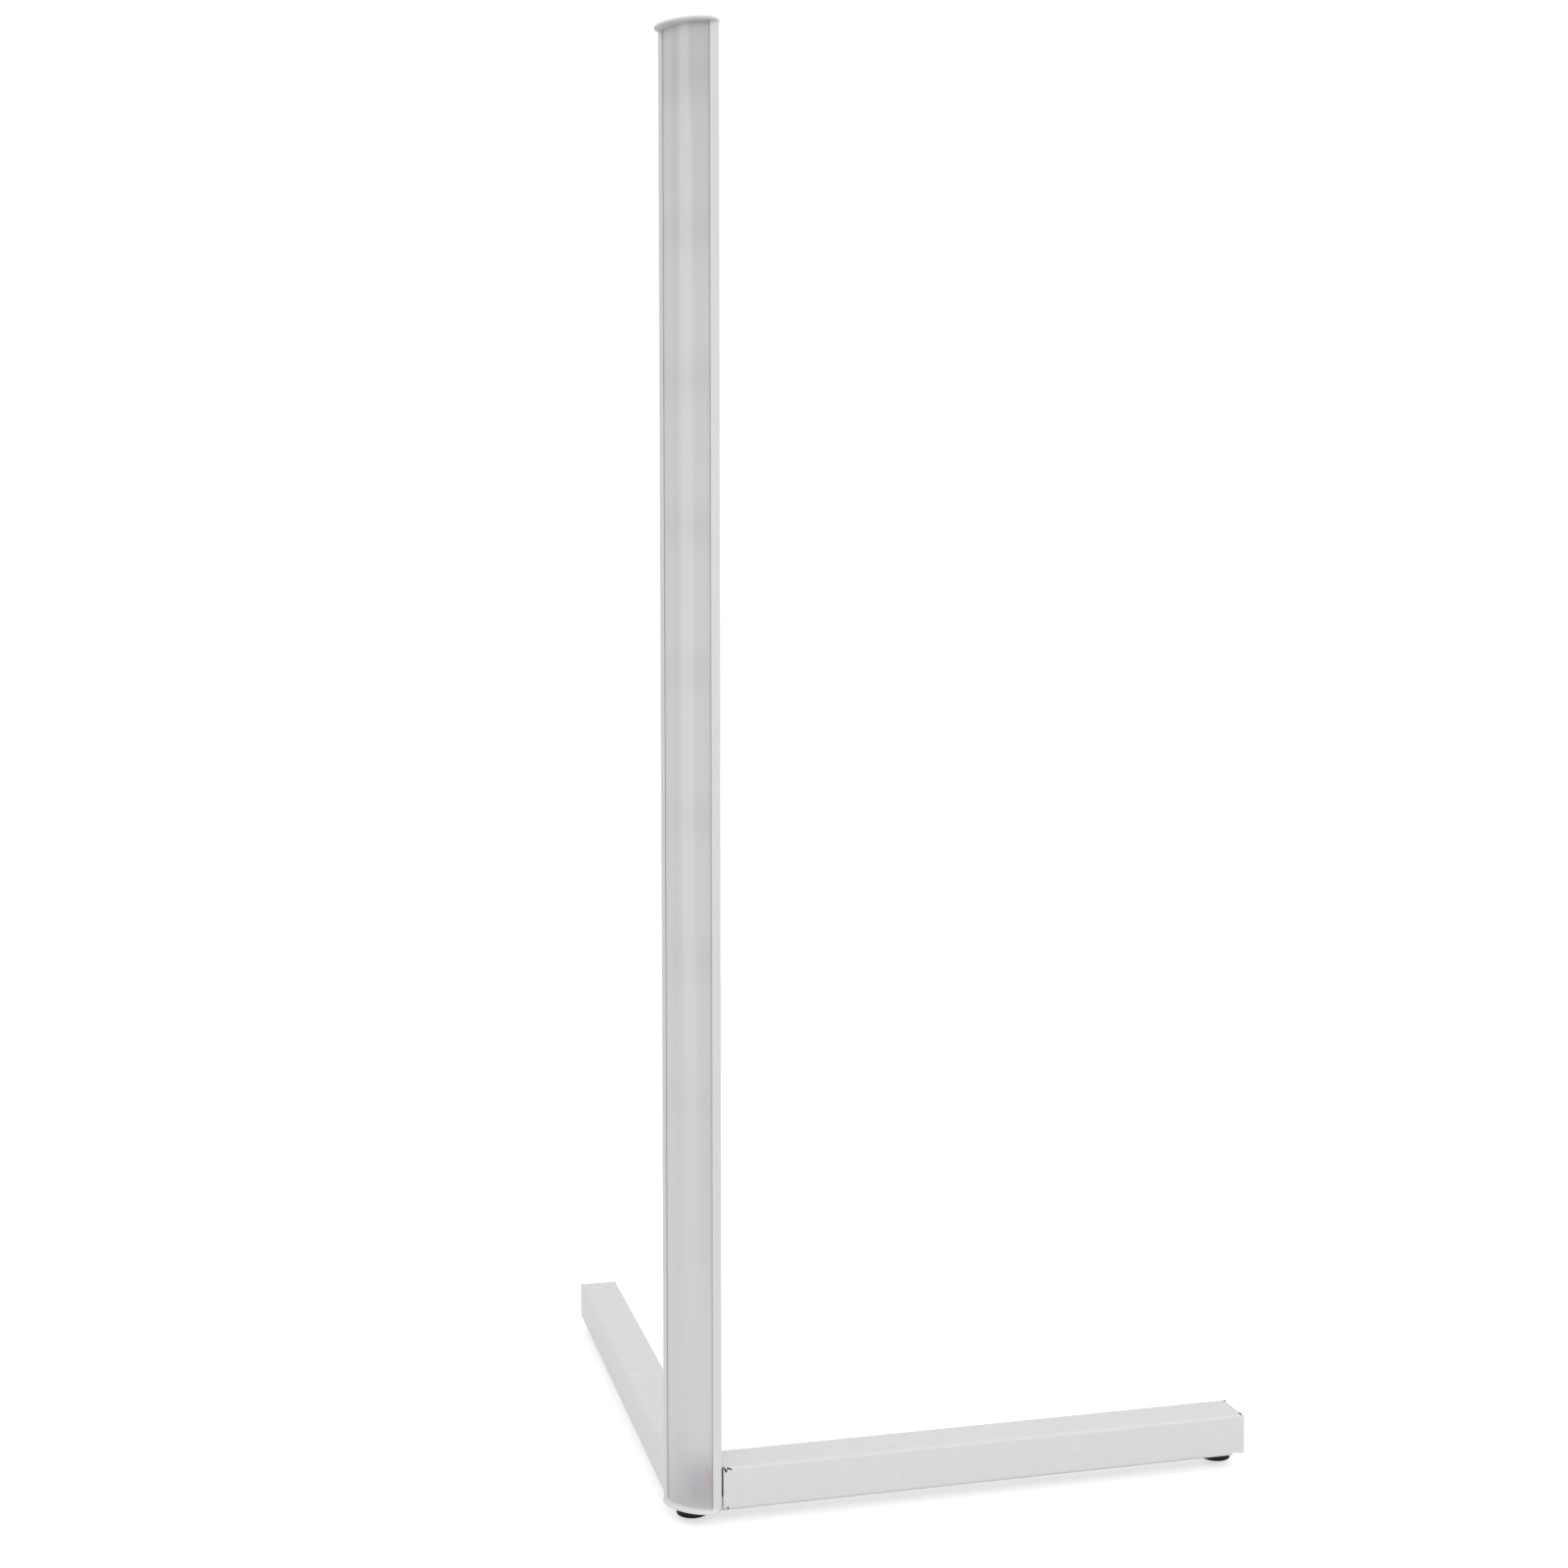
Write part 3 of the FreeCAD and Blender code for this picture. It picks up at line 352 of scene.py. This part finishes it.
def painted_band_and_side_shade(tree, turn, z, level):
    """The level with a painted pale band over the light strip, and painted light and shade on the front's two
    sides beside it.
    """
    # painted light: a pale band over the strip, fading towards the driver board
    narrower = soft_step(tree, z, 1.28, 1.37, 0.0, 2.0)
    middle = figure(tree, "ADD", soft_step(tree, z, 0.3, 0.7, 35.0, 39.5), narrower)
    off = figure(tree, "ADD", figure(tree, "ABSOLUTE", figure(tree, "SUBTRACT", turn, middle)), narrower)
    fade = soft_step(tree, z, 0.1, 0.75)
    band = figure(tree, "MULTIPLY", soft_step(tree, off, 11.0, 5.5), fade)
    upper = soft_step(tree, z, 1.08, 1.25)

    # painted shadows beside the band at each clip
    steps = figure(tree, "DIVIDE", figure(tree, "SUBTRACT", z, FIRST_CLIP), CLIP_PITCH)
    away = figure(tree, "ABSOLUTE", figure(tree, "SUBTRACT", steps, figure(tree, "ROUND", steps)))
    clip_shadow = figure(tree, "MULTIPLY", soft_step(tree, away, 0.26, 0.0), fade)

    # painted light over the strip and on the left side, painted shade between them and towards the right lip
    glow = figure(tree, "MULTIPLY_ADD", upper, 0.018, 0.06)
    level = figure(tree, "MULTIPLY_ADD", band, glow, level)
    painted_left_light = figure(tree, "MULTIPLY_ADD", upper, 0.025, 0.022)
    left = figure(tree, "MULTIPLY", soft_step(tree, turn, 57.0, 64.0), painted_left_light)
    level = figure(tree, "ADD", level, left)
    dip = figure(tree, "MULTIPLY", soft_spot(tree, turn, 55.5, 5.5), fade)
    level = figure(tree, "MULTIPLY_ADD", dip, -0.015, level)
    right = figure(tree, "MULTIPLY", soft_step(tree, turn, 45.0, 12.0), soft_step(tree, z, 0.12, 0.35, 0.4))
    level = figure(tree, "MULTIPLY_ADD", right, -0.083, level)
    return figure(tree, "MULTIPLY_ADD", clip_shadow, -0.035, level)


def lower_end_shades(tree, turn, z, color):
    """Painted shade: the foot's nut darkens the front's lower end, and a painted pink glow shows the red lead
    beside the right lip.
    """
    # painted shadow over the lower end, with a purple tint
    low = figure(tree, "MULTIPLY", soft_step(tree, z, 0.07, 0.041), soft_step(tree, z, 0.008, 0.022))
    low_shadow = figure(tree, "MULTIPLY", soft_step(tree, turn, 66.0, 20.0), low)
    color = blend(tree, figure(tree, "MULTIPLY", low_shadow, 0.39), color, (0.33, 0.29, 0.355, 1.0))
    # painted shadow of the foot's nut
    nut_shadow = figure(tree, "MULTIPLY", soft_spot(tree, turn, 32.0, 9.0), soft_spot(tree, z, 0.026, 0.009))
    color = blend(tree, figure(tree, "MULTIPLY", nut_shadow, 0.12), color, grey(0.28))
    # painted pink glow of the red lead beside the right lip
    lead_turn = soft_step(tree, z, 0.024, 0.058, 10.5, 17.5)
    lead = figure(tree, "MULTIPLY", soft_spot(tree, turn, lead_turn, 6.0), soft_spot(tree, z, 0.04, 0.018))
    return blend(tree, figure(tree, "MULTIPLY", lead, 0.42), color, (0.62, 0.32, 0.42, 1.0))


def frosted_acrylic():
    """Frosted front with painted light and shade: a pale band over the light strip, soft painted clip shadows
    beside it, and painted shade at its ends and sides.
    """
    material, tree, shader = start_material("frosted_acrylic")
    x, y, z = axes_in(tree)
    # angle round the inner corner, 0 at the right lip and a quarter turn at the left one
    turn = figure(tree, "ARCTAN2", figure(tree, "SUBTRACT", CORNER, x), figure(tree, "SUBTRACT", CORNER, y))
    turn = figure(tree, "DEGREES", turn)
    # painted light and shade over the front
    level = painted_band_and_side_shade(tree, turn, z, front_levels(tree, z))
    level = figure(tree, "MULTIPLY_ADD", noise(tree, 90.0, 3.0), 0.012, level)
    color = add_node(tree, "ShaderNodeCombineColor", {0: level, 1: level, 2: level}).outputs[0]

    # shadow in the grooves beside the lips
    for start, end, depth in ((77.8, 80.0, 0.42), (12.5, 10.5, 0.2)):
        groove = figure(tree, "MULTIPLY", soft_step(tree, turn, start, end), depth)
        color = blend(tree, groove, color, grey(0.22))
    color = lower_end_shades(tree, turn, z, color)

    frost = noise(tree, 3000.0, 2.0)
    rough = figure(tree, "MULTIPLY_ADD", frost, 0.12, 0.36)
    inputs = {"Base Color": color, "Roughness": rough, "IOR": 1.49}
    set_shader(tree, shader, inputs, frost, 0.000008, 0.25)
    return material


def led_lens():
    """White package with a round yellow window."""
    material, tree, shader = start_material("led_lens")
    x, y, z = axes_in(tree)
    across = figure(tree, "MULTIPLY", figure(tree, "SUBTRACT", x, y), math.sqrt(0.5))
    steps = figure(tree, "DIVIDE", figure(tree, "SUBTRACT", z, FIRST_CLIP + LED_PITCH / 2), LED_PITCH)
    up = figure(tree, "MULTIPLY", figure(tree, "SUBTRACT", steps, figure(tree, "ROUND", steps)), LED_PITCH)
    reach = distance(tree, across, up)
    window = soft_step(tree, reach, LED_WINDOW + 0.0003, LED_WINDOW)
    coat = use_group(tree, COAT, color=grey(0.82), cloud_color=grey(0.78), cloud_scale=900.0, roughness=0.3)
    inputs = {
        "Base Color": blend(tree, window, coat["Color"], (0.86, 0.68, 0.16, 1.0)),
        "Roughness": figure(tree, "MULTIPLY_ADD", window, -0.12, coat["Roughness"]),
    }
    set_shader(tree, shader, inputs, coat["Height"])
    return material


def board_face(name, mask_color, track_color, pad_color, scale):
    """Circuit board: lacquer over tracks, with bare pads."""
    material, tree, shader = start_material(name)
    where = place_in(tree)
    turned = add_node(tree, "ShaderNodeMapping", {"Vector": where, "Rotation": (0.0, 0.0, math.radians(45))})
    bricks = add_node(
        tree,
        "ShaderNodeTexBrick",
        {"Vector": turned.outputs[0], "Scale": scale, "Mortar Size": 0.035, "Mortar Smooth": 0.2},
    ).outputs["Fac"]
    dots = add_node(tree, "ShaderNodeTexVoronoi", {"Vector": where, "Scale": scale * 1.6}).outputs["Distance"]
    pads = soft_step(tree, dots, 0.2, 0.16)
    coat = use_group(tree, COAT, color=mask_color, cloud_color=mask_color, cloud_scale=500.0, roughness=0.3)
    lacquer = blend(tree, bricks, coat["Color"], track_color)
    inputs = {
        "Base Color": blend(tree, pads, lacquer, pad_color),
        "Roughness": figure(tree, "MULTIPLY_ADD", pads, -0.06, coat["Roughness"]),
        "Metallic": figure(tree, "MULTIPLY", pads, 0.8),
    }
    set_shader(tree, shader, inputs, figure(tree, "ADD", bricks, pads), 0.00003)
    return material


def inlet_plastic():
    """Black plastic, with the inlet's bare centre pin."""
    material, tree, shader = start_material("black_plastic")
    low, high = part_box("dc_jack")
    x, y, z = axes_in(tree)
    aside = figure(tree, "SUBTRACT", x, (low.x + high.x) / 2)
    up = figure(tree, "SUBTRACT", z, (low.z + high.z) / 2)
    reach = distance(tree, aside, up)
    beside_pin = soft_step(tree, reach, INLET_PIN + 0.0001, INLET_PIN - 0.0001)
    pin = figure(tree, "MULTIPLY", beside_pin, soft_step(tree, y, INLET_FLOOR, INLET_FLOOR + 0.0003))
    scales = {"cloud_scale": 600.0, "peel_scale": 3000.0}
    coat = use_group(tree, COAT, color=grey(0.03), cloud_color=grey(0.022), **scales)
    inputs = {
        "Base Color": blend(tree, pin, coat["Color"], (0.72, 0.68, 0.6, 1.0)),
        "Roughness": figure(tree, "MULTIPLY_ADD", pin, -0.15, coat["Roughness"]),
        "Metallic": pin,
    }
    set_shader(tree, shader, inputs, coat["Height"])
    return material


FINISHES = {
    "white_aluminium": powder_coat(
        "white_aluminium",
        grey(0.748, 0.008),
        grey(0.738, 0.012),
        [
            # painted shade on the upper column, painted light near the foot, painted shade on the top cap and
            # painted light on the bottom cap
            (height_share(0.9, 1.3), grey(0.712, 0.01)),
            (height_share(0.25, 0.05), grey(0.785, 0.01)),
            (height_share(COLUMN_TOP - 0.0001, COLUMN_TOP + 0.0001), grey(0.69, 0.01)),
            (height_share(COLUMN_FOOT + 0.0001, COLUMN_FOOT - 0.0001), grey(0.88)),
        ],
        cloud_scale=70.0,
        peel_scale=1500.0,
        depth=0.00002,
        film=0.04,
    ),
    "white_steel": powder_coat(
        "white_steel",
        grey(0.81, 0.016),
        grey(0.79, 0.02),
        # painted shade inside the legs and in the holes at their far corners
        [(leg_inside_painted_shade, grey(0.24, 0.03)), (corner_hole_painted_shade, grey(0.04))],
        cloud_scale=160.0,
        peel_scale=1100.0,
        depth=0.00003,
        film=0.2,
    ),
    "frosted_acrylic": frosted_acrylic(),
    "black_foot": moulded(
        "black_foot", grey(0.007), grey(0.005), roughness=0.7, cloud_scale=400.0, peel_scale=1800.0, shine=0.2
    ),
    "zinc_steel": bare_metal("zinc_steel", (0.66, 0.67, 0.69, 1.0), (0.58, 0.57, 0.53, 1.0)),
    "nickel": bare_metal("nickel", (0.74, 0.71, 0.66, 1.0), (0.68, 0.64, 0.57, 1.0), 0.22),
    "adhesive_tape": moulded(
        "adhesive_tape", grey(0.7, 0.03), grey(0.6, 0.06), roughness=0.6, cloud_scale=200.0, peel_scale=900.0
    ),
    "white_board": board_face("white_board", grey(0.8), grey(0.74, 0.03), (0.72, 0.55, 0.3, 1.0), 160.0),
    "led_lens": led_lens(),
    "grey_clip": moulded("grey_clip", grey(0.42), grey(0.37), 0.5),
    "green_board": board_face(
        "green_board", (0.02, 0.16, 0.06, 1.0), (0.03, 0.24, 0.09, 1.0), (0.75, 0.72, 0.66, 1.0), 300.0
    ),
    "black_plastic": inlet_plastic(),
    "white_plastic": moulded("white_plastic", grey(0.74, 0.02), grey(0.69, 0.04), 0.4),
    "capacitor_can": bare_metal("capacitor_can", (0.6, 0.61, 0.63, 1.0), (0.5, 0.5, 0.52, 1.0), 0.3),
    "red_insulation": moulded("red_insulation", (0.55, 0.02, 0.03, 1.0), (0.46, 0.015, 0.02, 1.0), 0.42),
    "black_insulation": moulded("black_insulation", grey(0.03), grey(0.022), 0.42),
    "white_insulation": moulded("white_insulation", grey(0.74), grey(0.68, 0.02), 0.42),
}


def add_object(name, data):
    """A new object in the scene."""
    thing = bpy.data.objects.new(name, data)
    bpy.context.scene.collection.objects.link(thing)
    return thing


def dress_lamp():
    """Give each piece of the lamp the finish of its material slot."""
    for part in frame["record"]["subparts"]:
        piece = lamp[part["node"]]
        piece.data.materials.clear()
        piece.data.materials.append(FINISHES[part["material_slot"]])


def make_stud(name):
    """Threaded stud of a levelling foot, within the plain rod of the CAD model."""
    low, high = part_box(name)
    rod = (high.x - low.x) / 2
    around, per_turn = 24, 6
    rows = round((high.z - low.z) / THREAD_PITCH * per_turn)
    mesh = bpy.data.meshes.new(f"{name}_thread")
    shape = bmesh.new()
    rings = []
    for row in range(rows + 1):
        z = low.z + (high.z - low.z) * row / rows
        ring = []
        for step in range(around):
            phase = ((z - low.z) / THREAD_PITCH - step / around) % 1.0
            radius = rod - THREAD_DEPTH * abs(2 * phase - 1)
            radius = min(radius, rod - STUD_CHAMFER + max(0.0, high.z - z))
            turn = 2 * math.pi * step / around
            ring.append(shape.verts.new((radius * math.cos(turn), radius * math.sin(turn), z)))
        rings.append(ring)
    for lower, upper in zip(rings, rings[1:]):
        for i in range(around):
            shape.faces.new((lower[i], lower[(i + 1) % around], upper[(i + 1) % around], upper[i]))
    shape.faces.new(reversed(rings[0]))
    shape.faces.new(rings[-1])
    shape.to_mesh(mesh)
    shape.free()
    middle = Vector(((low.x + high.x) / 2, (low.y + high.y) / 2, 0.0))
    for vertex in mesh.vertices:
        vertex.co += middle
    mesh.materials.append(FINISHES["zinc_steel"])
    stud = add_object(f"{name}_thread", mesh)
    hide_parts(name)
    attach(stud, name)


def seen_by_camera(tree, seen, unseen):
    """One value for what the camera, a reflection or glass shows, and another for light on the lamp."""
    path = add_node(tree, "ShaderNodeLightPath").outputs
    rays = figure(tree, "ADD", path["Is Camera Ray"], path["Is Glossy Ray"])
    rays = figure(tree, "ADD", rays, path["Is Transmission Ray"], clamp=True)
    return figure(tree, "MULTIPLY_ADD", rays, seen - unseen, unseen)


def make_floor():
    """Pale floor that runs out to a white background and keeps the lamp's soft shadow."""
    mesh = bpy.data.meshes.new("studio_floor")
    turns = [2 * math.pi * i / FLOOR_SIDES for i in range(FLOOR_SIDES)]
    rim = [(math.cos(turn) * FLOOR_RADIUS, math.sin(turn) * FLOOR_RADIUS, FLOOR) for turn in turns]
    mesh.from_pydata(rim, [], [range(FLOOR_SIDES)])
    floor = add_object("studio_floor", mesh)
    material, tree, shader = start_material("studio_floor")
    tree.nodes.remove(shader)
    # the legs and the column keep some light off the floor in the inner corner
    x, y, _ = axes_in(tree)
    aside, ahead = (figure(tree, "SUBTRACT", value, SHADE_MIDDLE) for value in (x, y))
    shade = soft_step(tree, distance(tree, aside, ahead), SHADE_REACH, SHADE_CORE)
    for value in (x, y):
        behind_front = soft_step(tree, value, SHADE_FRONT, SHADE_FULL)
        shade = figure(tree, "MULTIPLY", shade, behind_front)
    open_floor = figure(tree, "MULTIPLY_ADD", shade, -SHADE_DEPTH, 1.0)
    paper = blend(tree, noise(tree, 40.0, 4.0), grey(0.66), grey(0.65))
    tone = blend(tree, open_floor, grey(0.2), paper)
    matt = add_node(tree, "ShaderNodeBsdfDiffuse", {"Color": tone}).outputs[0]
    strength = figure(tree, "MULTIPLY", open_floor, seen_by_camera(tree, 0.6, 0.0))
    glow = add_node(tree, "ShaderNodeEmission", {"Color": grey(1.0), "Strength": strength})
    both = add_node(tree, "ShaderNodeAddShader", {0: matt, 1: glow.outputs[0]})
    tree.links.new(both.outputs[0], tree.nodes["Material Output"].inputs["Surface"])
    mesh.materials.append(material)


def make_sky(strength):
    """White all round to look at, which lights the lamp with that strength."""
    world = bpy.data.worlds.new("studio")
    bpy.context.scene.world = world
    world.use_nodes = True
    tree = world.node_tree
    background = tree.nodes["Background"]
    background.inputs["Color"].default_value = grey(1.0)
    tree.links.new(seen_by_camera(tree, 1.0, strength), background.inputs["Strength"])


def make_softbox(name, place, target, size, watts):
    """Square studio light turned towards a target."""
    light = bpy.data.lights.new(name, "AREA")
    light.shape = "SQUARE"
    light.size = size
    light.energy = watts
    box = add_object(name, light)
    box.location = place
    box.rotation_euler = (Vector(target) - Vector(place)).to_track_quat("-Z", "Y").to_euler()


def make_camera():
    """Camera at the photograph's place, turned towards +X and a little down."""
    data = bpy.data.cameras.new("camera")
    data.sensor_width = CAMERA_SENSOR
    data.lens = CAMERA_LENS
    camera = add_object("camera", data)
    camera.location = CAMERA_PLACE
    camera.rotation_euler = (math.radians(90 - CAMERA_DOWN), 0.0, math.radians(-CAMERA_RIGHT))
    bpy.context.scene.camera = camera


def make_studio():
    """Floor, light and camera round the lamp."""
    make_floor()
    make_sky(0.78)
    make_softbox("key_softbox", (-1.0, -3.4, 2.1), (0.1, 0.0, 0.5), 2.6, 27.0)
    make_softbox("fill_softbox", (2.2, -2.6, 1.8), (0.1, 0.0, 0.6), 2.4, 14.0)
    make_softbox("back_softbox", (0.8, 2.8, 3.0), (0.1, 0.1, 0.6), 2.4, 9.0)
    make_camera()
    bpy.context.scene.view_settings.view_transform = "Standard"


dress_lamp()
for foot in ("column", "right", "left"):
    make_stud(f"{foot}_foot_stud")
make_studio()
